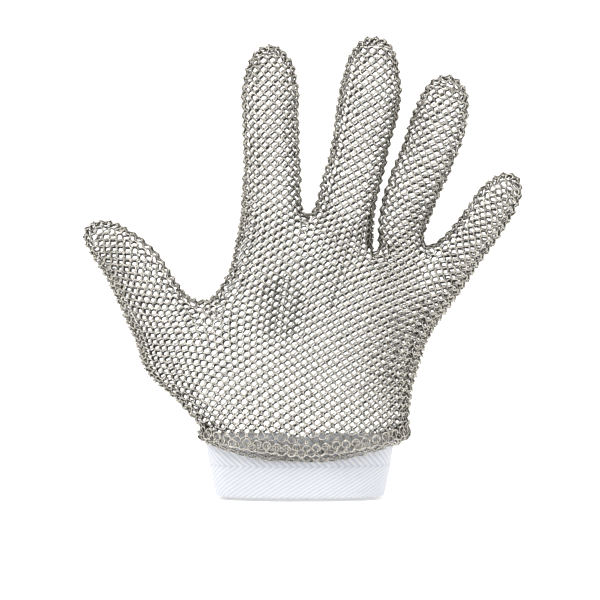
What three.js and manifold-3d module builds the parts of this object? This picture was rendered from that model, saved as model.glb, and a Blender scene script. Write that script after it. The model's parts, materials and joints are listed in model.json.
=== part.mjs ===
// Cut resistant ring-mesh glove with a woven wrist band, right hand, standing on its wrist opening.
// Millimetres, +Z up along the fingers, the back of the hand faces -Y, the palm faces +Y, the thumb is at -X.
import * as THREE from "three";
import { mergeVertices } from "three/addons/utils/BufferGeometryUtils.js";
import Module from "manifold-3d";

const wasm = await Module();
wasm.setup();

// ---------------------------------------------------------------- driving dimensions
const WALL = 1.6; // thickness of the ring mesh as a sheet
const GAP = 0.8; // running gap at a fold line
const CLEAR = 0.35; // gap between pieces that touch in the real glove
const ROUND = 20; // points round a sleeve
const PALM_ROUND = 40; // points round the hand
const BAND_HEIGHT = 26; // woven wrist band
const BAND_THICK = 1.5;
const LINING_THICK = 1.0;
const HEM_BOTTOM_MID = 17; // lowest point of the mesh hem, mid width
const HEM_BOTTOM_SIDE = 24.5; // the hem at the two sides
const HEM_TOP = 28.5;
const SEAM_X = -38; // line on which the thumb gusset joins the palm
const FOLD = { x: 0, z: 85, tilt: 6, max: 45 }; // knuckle fold across the hand

// Sleeves: [x, z, half width, half depth] along the middle line from inside the palm to the start of the round tip.
const SLEEVES = {
  index: {
    line: [
      [-12.0, 80, 12.5, 12.6],
      [-12.8, 100, 13.4, 12.4],
      [-12.6, 121.8, 13.0, 11.8],
      [-12.4, 144, 12.5, 11.3],
      [-12.8, 157, 13.0, 11.1],
      [-12.9, 170, 13.3, 10.8],
      [-13.2, 181, 12.2, 10.3],
    ],
    tip: 13.2,
    root: [-12.6, 121.8, 0],
    pip: [-12.4, 144],
    dip: [-12.9, 168.5],
    rootMax: 45,
    pipMax: 90,
    dipMax: 58.5,
  },
  middle: {
    line: [
      [12.0, 80, 12.4, 12.8],
      [15.2, 104, 12.5, 12.6],
      [18.3, 119.8, 12.5, 12.1],
      [20.1, 127, 12.5, 11.8],
      [25.0, 146, 12.8, 11.4],
      [28.4, 160, 13.3, 11.2],
      [30.3, 171, 13.6, 10.9],
      [31.2, 184, 12.8, 10.4],
    ],
    tip: 13.4,
    root: [18.3, 119.8, 5],
    pip: [24.5, 144.3],
    dip: [30.2, 170.5],
    rootMax: 45,
    pipMax: 90,
    dipMax: 58.5,
  },
  ring: {
    line: [
      [37.5, 80, 12.0, 12.4],
      [41.6, 102, 12.0, 12.2],
      [43.9, 111.8, 11.9, 11.8],
      [47.6, 127, 11.8, 11.3],
      [54.0, 144, 11.9, 10.9],
      [59.0, 160, 11.9, 10.6],
      [62.3, 170.5, 11.3, 10.2],
    ],
    tip: 11.2,
    root: [43.9, 111.8, 8],
    pip: [50.6, 134.5],
    dip: [58.4, 158.2],
    rootMax: 45,
    pipMax: 90,
    dipMax: 58.5,
  },
  little: {
    line: [
      [46.5, 72, 9.6, 11.4],
      [61.2, 93.5, 10.2, 11.0],
      [69.5, 105.1, 10.1, 10.2],
      [76.5, 115.5, 10.0, 9.6],
      [84.1, 126.8, 9.7, 9.1],
      [87.4, 131.2, 9.2, 8.8],
    ],
    tip: 9.2,
    root: [69.5, 105.1, 17],
    pip: [76.6, 115.6],
    dip: [84.0, 126.7],
    rootMax: 40,
    pipMax: 70,
    dipMax: 45.5,
  },
};
const THUMB = {
  line: [
    [-25, 45, 15, 14.4],
    [-38.5, 54.0, 20.3, 13.9],
    [-50, 66, 19.6, 13.0],
    [-58.2, 77, 16.6, 12.3],
    [-65.2, 87, 13.9, 11.8],
    [-70.7, 96, 12.8, 11.3],
    [-76.7, 104, 11.8, 10.8],
    [-84.2, 111.5, 10.0, 9.8],
  ],
  tip: 9.6,
  mcp: [-62.6, 83.2],
  ip: [-76.0, 103.0],
  toPalm: 50, // degrees that the pad is turned from the plane of the hand towards the palm side
  swingMax: 30,
  mcpMax: 40,
  ipMax: 60,
};
// The hand: [z, left x, right x, half depth]
const HAND = [
  [24, -41.5, 44.5, 19.2],
  [29, -41.5, 46.0, 18.7],
  [41, -41.2, 48.4, 16.8],
  [58, -40.6, 52.4, 15.2],
  [67, -40.0, 55.2, 14.7],
  [75.3, -39.2, 60.2, 14.2],
  [84, -37.6, 66.0, 13.8],
  [92, -33.6, 69.0, 13.0],
  [98, -29.0, 66.5, 12.0],
  [104.5, -22.0, 60.5, 8.6],
];
const WEB_INDEX_MIDDLE = [
  [92, -12, 18, 11],
  [106, -8, 16, 9],
  [117.4, -4, 10, 5.5],
];
// Wrist band: [z, half width, half depth] of its outer face
const BAND = [
  [0, 34.0, 22.0],
  [13, 37.0, 19.6],
  [BAND_HEIGHT, 39.2, 16.6],
];
const BAND_SHAPE = 2.4; // exponent of the outline: 2 is an ellipse
const SNAP_X = -13;
const SNAP_Z = 8.6;
const TAB_X = [-22, 13];
const TAB_Z = [2.4, 14.8];
const ANCHOR_X = [15.4, 26.4];

// ---------------------------------------------------------------- colours
const STEEL = new THREE.Color(0xb9bab5);
const CLOTH = new THREE.Color(0xf2f3f8);
const LINING = new THREE.Color(0xe6e7ee);
const NICKEL = new THREE.Color(0xc9cacb);

// ---------------------------------------------------------------- helpers
const rad = THREE.MathUtils.degToRad;

function toSolid(geometry) {
  const g = geometry.index ? geometry.toNonIndexed() : geometry.clone();
  g.deleteAttribute("normal");
  g.deleteAttribute("uv");
  const m = mergeVertices(g, 1e-4);
  return new wasm.Manifold(
    new wasm.Mesh({
      numProp: 3,
      vertProperties: new Float32Array(m.attributes.position.array),
      triVerts: new Uint32Array(m.index.array),
    }),
  );
}

function toGeometry(solid) {
  const m = solid.getMesh();
  const p = new Float32Array(m.numVert * 3);
  for (let i = 0; i < m.numVert; i++)
    p.set(m.vertProperties.subarray(i * m.numProp, i * m.numProp + 3), i * 3);
  const g = new THREE.BufferGeometry()
    .setAttribute("position", new THREE.BufferAttribute(p, 3))
    .setIndex(new THREE.BufferAttribute(new Uint32Array(m.triVerts), 1))
    .toNonIndexed();
  g.computeVertexNormals();
  return g;
}

// A closed solid through a list of outlines with the same number of points.
function skin(rings) {
  const n = rings[0].length;
  const pos = [];
  const idx = [];
  const middle = (r) =>
    r.reduce((s, p) => s.add(p), new THREE.Vector3()).multiplyScalar(1 / n);
  rings.forEach((r) => r.forEach((p) => pos.push(p.x, p.y, p.z)));
  for (let k = 0; k + 1 < rings.length; k++)
    for (let i = 0; i < n; i++) {
      const a = k * n + i;
      const b = k * n + ((i + 1) % n);
      idx.push(a, b, b + n, a, b + n, a + n);
    }
  const first = middle(rings[0]);
  const last = middle(rings[rings.length - 1]);
  const c0 = pos.length / 3;
  pos.push(first.x, first.y, first.z, last.x, last.y, last.z);
  const top = (rings.length - 1) * n;
  for (let i = 0; i < n; i++) {
    idx.push(c0, (i + 1) % n, i);
    idx.push(c0 + 1, top + i, top + ((i + 1) % n));
  }
  let volume = 0;
  const v = (i) => new THREE.Vector3(pos[3 * i], pos[3 * i + 1], pos[3 * i + 2]);
  for (let i = 0; i < idx.length; i += 3)
    volume += v(idx[i]).dot(v(idx[i + 1]).cross(v(idx[i + 2])));
  if (volume < 0)
    for (let i = 0; i < idx.length; i += 3)
      [idx[i + 1], idx[i + 2]] = [idx[i + 2], idx[i + 1]];
  const g = new THREE.BufferGeometry()
    .setAttribute("position", new THREE.Float32BufferAttribute(pos, 3))
    .setIndex(idx);
  return toSolid(g);
}

// Outline of a superellipse: centre c, across direction p, depth direction q.
function outline(c, p, q, w, d, power, count) {
  const out = [];
  for (let i = 0; i < count; i++) {
    const t = (2 * Math.PI * i) / count;
    const x = Math.sign(Math.cos(t)) * Math.abs(Math.cos(t)) ** (2 / power);
    const y = Math.sign(Math.sin(t)) * Math.abs(Math.sin(t)) ** (2 / power);
    out.push(
      new THREE.Vector3()
        .copy(c)
        .addScaledVector(p, w * x)
        .addScaledVector(q, d * y),
    );
  }
  return out;
}

const Y = new THREE.Vector3(0, 1, 0);

// A sleeve with a round tip, made smaller all over by inset.
function sleeve(def, inset) {
  const pts = def.line.map((l) => new THREE.Vector3(l[0], 0, l[1]));
  const rings = [];
  const dirAt = (i) => {
    const a = pts[Math.max(0, i - 1)];
    const b = pts[Math.min(pts.length - 1, i + 1)];
    return b.clone().sub(a).normalize();
  };
  def.line.forEach((l, i) => {
    const u = dirAt(i);
    const p = new THREE.Vector3(u.z, 0, -u.x);
    const c = pts[i].clone();
    if (i === 0) c.addScaledVector(u, -inset * 0.5);
    rings.push(outline(c, p, Y, l[2] - inset, l[3] - inset, 2.1, ROUND));
  });
  const last = pts.length - 1;
  const u = dirAt(last);
  const p = new THREE.Vector3(u.z, 0, -u.x);
  const [, , w, d] = def.line[last];
  for (const s of [0.42, 0.72, 0.92]) {
    const k = Math.sqrt(1 - s * s);
    rings.push(
      outline(
        pts[last].clone().addScaledVector(u, (def.tip - inset) * s),
        p,
        Y,
        (w - inset) * k,
        (d - inset) * k,
        2.1,
        ROUND,
      ),
    );
  }
  return skin(rings);
}

function levels(list, inset, power, count) {
  return skin(
    list.map(([z, l, r, d]) =>
      outline(
        new THREE.Vector3((l + r) / 2, 0, z),
        new THREE.Vector3(1, 0, 0),
        Y,
        (r - l) / 2 - inset,
        d - inset,
        power,
        count,
      ),
    ),
  );
}

// A prism with a polygon in the (f, u) plane through c, long both ways along f x u.
function prism(c, f, u, polygon, half) {
  const shape = new THREE.Shape(polygon.map(([x, y]) => new THREE.Vector2(x, y)));
  const g = new THREE.ExtrudeGeometry(shape, {
    depth: 2 * half,
    bevelEnabled: false,
  });
  g.translate(0, 0, -half);
  const w = new THREE.Vector3().crossVectors(f, u);
  g.applyMatrix4(
    new THREE.Matrix4().makeBasis(f, u, w).setPosition(c.x, c.y, c.z),
  );
  return toSolid(g);
}

const FAR = 260;
// The room below a fold line, cut back on the side it closes towards by half the fold.
function below(h) {
  const t = Math.tan(rad(h.max / 2 + 2.2));
  const g = h.gap ?? GAP;
  return prism(
    h.c,
    h.f,
    h.u,
    [
      [-FAR, -g / 2],
      [0, -g / 2],
      [FAR, -g / 2 - FAR * t],
      [FAR, -FAR * 3],
      [-FAR, -FAR * 3],
    ],
    h.half ?? 60,
  );
}
function above(h) {
  const t = Math.tan(rad(h.max / 2 + 2.2));
  const g = h.gap ?? GAP;
  return prism(
    h.c,
    h.f,
    h.u,
    [
      [-FAR, g / 2],
      [-FAR, FAR * 3],
      [FAR, FAR * 3],
      [FAR, g / 2 + FAR * t],
      [0, g / 2],
    ],
    h.half ?? 60,
  );
}
function hinge([x, z, tilt], max, half) {
  return {
    c: new THREE.Vector3(x, 0, z),
    f: Y.clone(),
    u: new THREE.Vector3(Math.sin(rad(tilt)), 0, Math.cos(rad(tilt))),
    max,
    half,
  };
}
function block(x0, x1, y0, y1, z0, z1) {
  const g = new THREE.BoxGeometry(x1 - x0, y1 - y0, z1 - z0);
  g.translate((x0 + x1) / 2, (y0 + y1) / 2, (z0 + z1) / 2);
  return toSolid(g);
}
// Only the largest solid of a cut, so that no crumb stays beside it.
function largest(solid) {
  const parts = solid.decompose();
  parts.sort((a, b) => b.volume() - a.volume());
  return parts[0];
}

const root = new THREE.Group();
root.name = "ring_mesh_glove";
function add(name, solid, color, roughness, metalness) {
  const mesh = new THREE.Mesh(
    toGeometry(largest(solid)),
    new THREE.MeshStandardMaterial({ color, roughness, metalness }),
  );
  mesh.name = name;
  root.add(mesh);
}
const mesh = (name, solid) => add(name, solid, STEEL, 0.35, 0.95);

// ---------------------------------------------------------------- the fingers
function lean(line, x, z) {
  // tilt from upright of the middle line where it passes closest to (x, z)
  let best = null;
  for (let i = 0; i + 1 < line.length; i++) {
    const a = line[i];
    const b = line[i + 1];
    const mid = Math.hypot((a[0] + b[0]) / 2 - x, (a[1] + b[1]) / 2 - z);
    if (!best || mid < best.mid)
      best = { mid, tilt: (Math.atan2(b[0] - a[0], b[1] - a[1]) * 180) / Math.PI };
  }
  return best.tilt;
}

export const HINGES = {};
for (const [name, s] of Object.entries(SLEEVES)) {
  const shell = sleeve(s, 0).subtract(sleeve(s, WALL));
  const h1 = hinge(s.root, s.rootMax, 40);
  const t2 = lean(s.line, s.pip[0], s.pip[1]);
  const t3 = lean(s.line, s.dip[0], s.dip[1]);
  const h2 = hinge([...s.pip, t2], s.pipMax, 40);
  const h3 = hinge([...s.dip, t3], s.dipMax, 40);
  HINGES[name + "_root"] = h1;
  HINGES[name + "_middle"] = h2;
  HINGES[name + "_tip"] = h3;
  mesh(name + "_proximal_sleeve", shell.intersect(above(h1)).intersect(below(h2)));
  mesh(name + "_middle_sleeve", shell.intersect(above(h2)).intersect(below(h3)));
  mesh(name + "_fingertip", shell.intersect(above(h3)));
}

// ---------------------------------------------------------------- the hand between hem and finger roots
const fold = hinge([FOLD.x, FOLD.z, FOLD.tilt], FOLD.max, 150);
HINGES.knuckle_fold = fold;
let out = levels(HAND, 0, 2.5, PALM_ROUND).add(
  levels(WEB_INDEX_MIDDLE, 0, 2.2, ROUND),
);
let inn = levels(
  HAND.map(([z, l, r, d], i) => [
    i === 0 ? z - 4 : i === HAND.length - 1 ? z - WALL : z,
    l,
    r,
    d,
  ]),
  WALL,
  2.5,
  PALM_ROUND,
).add(
  levels(
    WEB_INDEX_MIDDLE.map(([z, l, r, d], i) => [i === 2 ? z - WALL : z, l, r, d]),
    WALL,
    2.2,
    ROUND,
  ),
);
const fingersOut = [];
const fingersIn = [];
for (const [name, s] of Object.entries(SLEEVES)) {
  const h = HINGES[name + "_root"];
  const keep = below({ ...h, half: 40 });
  const open = below({ ...h, half: 40, gap: -8, max: 0 });
  fingersOut.push(sleeve(s, 0).intersect(keep));
  fingersIn.push(sleeve(s, WALL).intersect(open));
}
for (const f of fingersOut) out = out.add(f);
for (const f of fingersIn) inn = inn.add(f);
// the hand stops at each root line, also where the palm outline itself reaches it
const thumbOut = sleeve(THUMB, 0);
const thumbIn = sleeve(THUMB, WALL);
const handOut = out.add(thumbOut.intersect(block(-60, -20, -40, 40, 30, 86)));
const handIn = inn.add(thumbIn.intersect(block(-60, -20, -40, 40, 30, 86)));
const handShell = handOut.subtract(handIn);

// thumb hinges: direction along the thumb and towards its pad
function thumbHinge([x, z], max) {
  const tilt = lean(THUMB.line, x, z);
  const u = new THREE.Vector3(Math.sin(rad(tilt)), 0, Math.cos(rad(tilt)));
  const side = new THREE.Vector3(u.z, 0, -u.x);
  const f = side
    .multiplyScalar(Math.cos(rad(THUMB.toPalm)))
    .addScaledVector(Y, Math.sin(rad(THUMB.toPalm)))
    .normalize();
  return { c: new THREE.Vector3(x, 0, z), f, u, max, half: 30 };
}
const swing = {
  c: new THREE.Vector3(SEAM_X, 0, 55),
  f: Y.clone(),
  u: new THREE.Vector3(-1, 0, 0),
  max: THUMB.swingMax,
  half: 90,
};
const mcp = thumbHinge(THUMB.mcp, THUMB.mcpMax);
const ip = thumbHinge(THUMB.ip, THUMB.ipMax);
HINGES.thumb_swing = swing;
HINGES.thumb_mcp = mcp;
HINGES.thumb_ip = ip;

const foldBelow = below(fold);
const foldAbove = above(fold);
const seamInside = below(swing);
const seamOutside = above(swing);
const halfBack = block(-120, 120, -60, -CLEAR / 2, 0, 220);
const halfPalm = block(-120, 120, CLEAR / 2, 60, 0, 220);
const fromHem = block(-120, 120, -60, 60, HEM_TOP + CLEAR, 220);

const lower = handShell
  .intersect(fromHem)
  .intersect(foldBelow)
  .intersect(seamInside);
mesh("mesh_back_lower", lower.intersect(halfBack));
mesh("mesh_palm_lower", lower.intersect(halfPalm));
const upper = handShell
  .intersect(foldAbove)
  .intersect(block(-37.6, 120, -60, 60, 0, 220));
mesh("mesh_back_knuckles", upper.intersect(halfBack));
mesh("mesh_palm_knuckles", upper.intersect(halfPalm));

// ---------------------------------------------------------------- the thumb
const gussetOut = out.add(thumbOut).intersect(below(mcp));
const gusset = gussetOut
  .subtract(inn.add(thumbIn))
  .intersect(seamOutside)
  .intersect(fromHem)
  .intersect(block(-120, SEAM_X, -60, 60, 0, 90));
mesh("thumb_gusset", gusset);
const thumbShell = thumbOut.subtract(thumbIn);
mesh("thumb_proximal_sleeve", thumbShell.intersect(above(mcp)).intersect(below(ip)));
mesh("thumb_tip", thumbShell.intersect(above(ip)));

// ---------------------------------------------------------------- the rolled hem of the mesh
const hemList = [
  [10, -41.0, 44.4, 23.3],
  [26, -43.2, 46.2, 20.0],
  [29.5, -43.4, 46.8, 19.4],
];
const bow = new THREE.Shape();
bow.moveTo(-70, 60);
bow.lineTo(-70, HEM_BOTTOM_SIDE + 6);
for (let i = 0; i <= 16; i++) {
  const x = -48 + (96 * i) / 16;
  bow.lineTo(
    x,
    HEM_BOTTOM_MID +
      (HEM_BOTTOM_SIDE - HEM_BOTTOM_MID) * Math.min(1, (x / 44) ** 2),
  );
}
bow.lineTo(70, HEM_BOTTOM_SIDE + 6);
bow.lineTo(70, 60);
const bowCut = new THREE.ExtrudeGeometry(bow, { depth: 120, bevelEnabled: false });
bowCut.applyMatrix4(
  new THREE.Matrix4().makeBasis(
    new THREE.Vector3(1, 0, 0),
    new THREE.Vector3(0, 0, 1),
    new THREE.Vector3(0, -1, 0),
  ).setPosition(0, 60, 0),
);
mesh(
  "mesh_hem",
  levels(hemList, 0, 2.4, PALM_ROUND)
    .subtract(
      levels(
        hemList.map(([z, l, r, d], i) => [z + [-1, 0, 1][i], l, r, d]),
        2.6,
        2.4,
        PALM_ROUND,
      ),
    )
    .intersect(block(-80, 80, -60, 60, 0, HEM_TOP))
    .intersect(toSolid(bowCut)),
);

// ---------------------------------------------------------------- the woven wrist band and its closure
function bandSolid(offset, z0, z1) {
  return levels(
    [z0, ...BAND.map((b) => b[0]).filter((z) => z > z0 && z < z1), z1].map((z) => {
      const i = z <= BAND[1][0] ? 0 : 1;
      const t = (z - BAND[i][0]) / (BAND[i + 1][0] - BAND[i][0]);
      const w = BAND[i][1] + t * (BAND[i + 1][1] - BAND[i][1]);
      const d = BAND[i][2] + t * (BAND[i + 1][2] - BAND[i][2]);
      return [z, -w, w, d];
    }),
    -offset,
    BAND_SHAPE,
    PALM_ROUND,
  );
}
const tube = (o, i, z0, z1) =>
  bandSolid(o, z0, z1).subtract(bandSolid(i, z0 - 1, z1 + 1));
// outer face of the band where x = at, on the palm side, at height z
function bandFace(at, z) {
  const i = z <= BAND[1][0] ? 0 : 1;
  const t = (z - BAND[i][0]) / (BAND[i + 1][0] - BAND[i][0]);
  const w = BAND[i][1] + t * (BAND[i + 1][1] - BAND[i][1]);
  const d = BAND[i][2] + t * (BAND[i + 1][2] - BAND[i][2]);
  const y = d * (1 - Math.abs(at / w) ** BAND_SHAPE) ** (1 / BAND_SHAPE);
  const e = 0.2;
  const y2 = d * (1 - Math.abs((at + e) / w) ** BAND_SHAPE) ** (1 / BAND_SHAPE);
  const tilt = (BAND[i + 1][2] - BAND[i][2]) / (BAND[i + 1][0] - BAND[i][0]);
  const normal = new THREE.Vector3(-(y2 - y) / e, 1, -tilt).normalize();
  return { p: new THREE.Vector3(at, y, z), normal };
}
const snap = bandFace(SNAP_X, SNAP_Z);
// a turned piece standing on the band at the snap: profile [radius, height], closed on itself
function turned(profile, segments) {
  const g = new THREE.LatheGeometry(
    profile.map(([r, y]) => new THREE.Vector2(r, y)),
    segments,
  );
  g.applyQuaternion(new THREE.Quaternion().setFromUnitVectors(Y, snap.normal));
  g.translate(snap.p.x, snap.p.y, snap.p.z);
  const s = toSolid(g);
  return s;
}
const pole = (r, y0, y1, n) =>
  turned([[0, y0], [r, y0], [r, y1], [0, y1]], n);
const slit = block(-5, 5, 0, 60, -5, 60); // the band is open on the palm side
const band = tube(0, -BAND_THICK, 0, BAND_HEIGHT)
  .subtract(slit)
  .subtract(pole(1.9, -4, 3, 20));
add("cuff_band", band, CLOTH, 0.95, 0);
const lining = tube(
  -BAND_THICK - CLEAR,
  -BAND_THICK - CLEAR - LINING_THICK,
  1,
  BAND_HEIGHT - 1,
)
  .subtract(slit)
  .subtract(pole(1.9, -5, 3, 20));
add("cuff_lining", lining, LINING, 0.95, 0);

const TAB_LIFT = 2.5;
const TAB_THICK = 1.4;
const tabShell = bandSolid(TAB_LIFT + TAB_THICK, TAB_Z[0], TAB_Z[1]).subtract(
  bandSolid(TAB_LIFT, TAB_Z[0] - 1, TAB_Z[1] + 1),
);
const tab = tabShell
  .intersect(block(TAB_X[0], TAB_X[1], 0, 60, 0, 40))
  .subtract(pole(1.5, 0, 8, 20));
add("strap_tab", tab, CLOTH, 0.95, 0);
add(
  "strap_anchor",
  bandSolid(TAB_LIFT + TAB_THICK, TAB_Z[0], TAB_Z[1])
    .subtract(bandSolid(CLEAR, TAB_Z[0] - 1, TAB_Z[1] + 1))
    .intersect(block(ANCHOR_X[0], ANCHOR_X[1], 0, 60, 0, 40)),
  CLOTH,
  0.95,
  0,
);
// stitching that fixes the folded end of the strap, a box of thread lying on it
const stitchZ = [TAB_Z[0] + 1.8, TAB_Z[1] - 1.8];
const stitchX = [ANCHOR_X[0] + 1.6, ANCHOR_X[1] - 2.2];
add(
  "strap_box_stitch",
  bandSolid(TAB_LIFT + TAB_THICK + CLEAR + 0.5, stitchZ[0], stitchZ[1])
    .subtract(bandSolid(TAB_LIFT + TAB_THICK + CLEAR, stitchZ[0] - 1, stitchZ[1] + 1))
    .intersect(block(stitchX[0], stitchX[1], 0, 60, 0, 40))
    .subtract(
      block(
        stitchX[0] + 0.9,
        stitchX[1] - 0.9,
        0,
        60,
        stitchZ[0] + 0.9,
        stitchZ[1] - 0.9,
      ),
    ),
  LINING,
  0.9,
  0,
);
// snap fastener: post and stud on the band, socket and cap on the tab
const inner = -BAND_THICK - CLEAR - LINING_THICK;
add(
  "snap_post",
  turned(
    [
      [0, inner - CLEAR - 0.7],
      [4.6, inner - CLEAR - 0.7],
      [4.6, inner - CLEAR],
      [1.4, inner - CLEAR],
      [1.4, -0.05],
      [0, -0.05],
    ],
    24,
  ),
  NICKEL,
  0.25,
  1,
);
add(
  "snap_stud",
  turned(
    [
      [0, CLEAR],
      [4.6, CLEAR],
      [4.6, CLEAR + 0.45],
      [1.7, CLEAR + 0.45],
      [1.9, CLEAR + 1.5],
      [1.3, CLEAR + 1.75],
      [0, CLEAR + 1.75],
    ],
    24,
  ),
  NICKEL,
  0.25,
  1,
);
add(
  "snap_socket",
  turned(
    [
      [2.5, CLEAR + 0.75],
      [4.7, CLEAR + 0.75],
      [4.7, TAB_LIFT - CLEAR],
      [2.5, TAB_LIFT - CLEAR],
      [2.5, CLEAR + 0.75],
    ],
    24,
  ),
  NICKEL,
  0.25,
  1,
);
add(
  "snap_cap",
  turned(
    [
      [0, TAB_LIFT + 0.2],
      [1.1, TAB_LIFT + 0.2],
      [1.1, TAB_LIFT + TAB_THICK + CLEAR],
      [6.0, TAB_LIFT + TAB_THICK + CLEAR],
      [6.2, TAB_LIFT + TAB_THICK + CLEAR + 0.5],
      [4.6, TAB_LIFT + TAB_THICK + CLEAR + 1.1],
      [0, TAB_LIFT + TAB_THICK + CLEAR + 1.3],
    ],
    28,
  ),
  NICKEL,
  0.25,
  1,
);
export const SNAP = { p: snap.p, n: snap.normal };
const pivot = bandFace(TAB_X[1] + 0.3, SNAP_Z);
export const TAB_PIVOT = pivot.p
  .clone()
  .addScaledVector(pivot.normal, TAB_LIFT + TAB_THICK);

export default root;
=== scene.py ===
# Cut resistant glove of linked steel rings, with a woven wrist band: the visual model on the CAD frame.
import json
import math

import bpy
import numpy as np
from mathutils import Matrix, Vector
from mathutils.geometry import delaunay_2d_cdt


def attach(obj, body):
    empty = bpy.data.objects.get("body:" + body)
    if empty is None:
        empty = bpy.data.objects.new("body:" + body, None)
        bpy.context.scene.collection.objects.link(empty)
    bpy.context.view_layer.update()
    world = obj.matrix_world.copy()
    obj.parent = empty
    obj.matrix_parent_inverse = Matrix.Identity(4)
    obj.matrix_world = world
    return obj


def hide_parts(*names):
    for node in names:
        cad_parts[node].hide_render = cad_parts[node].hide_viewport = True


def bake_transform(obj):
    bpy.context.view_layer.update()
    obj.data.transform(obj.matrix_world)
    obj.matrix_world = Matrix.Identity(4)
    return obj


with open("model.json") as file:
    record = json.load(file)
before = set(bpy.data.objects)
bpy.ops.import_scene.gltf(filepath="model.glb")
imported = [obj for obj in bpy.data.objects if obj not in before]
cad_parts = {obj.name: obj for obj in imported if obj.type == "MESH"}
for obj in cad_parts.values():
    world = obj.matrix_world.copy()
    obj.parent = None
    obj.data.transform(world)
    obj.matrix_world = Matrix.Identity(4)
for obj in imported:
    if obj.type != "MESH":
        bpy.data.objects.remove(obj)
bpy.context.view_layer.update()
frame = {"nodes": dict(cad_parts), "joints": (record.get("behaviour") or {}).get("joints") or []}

rng = np.random.default_rng(7)

# ------------------------------------------------------------------ sizes, millimetres until the meshes are made
WIRE_R = 0.30  # radius of the ring wire
RING_R = 1.70  # radius of the ring's centre line
DV = 2.15  # spacing of the ring columns along the edges
EDGE = 6.0  # width of the side strip, measured over the surface from the side line
INSET = 1.25  # from the outside of the mesh to the middle of its thickness
HEM_MID = 20.0
HEM_SIDE = 29.0
COLUMNS = [0, 11, 22, 33, 44, 53]  # ring column at each side: thumb, crotches, little finger
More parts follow.
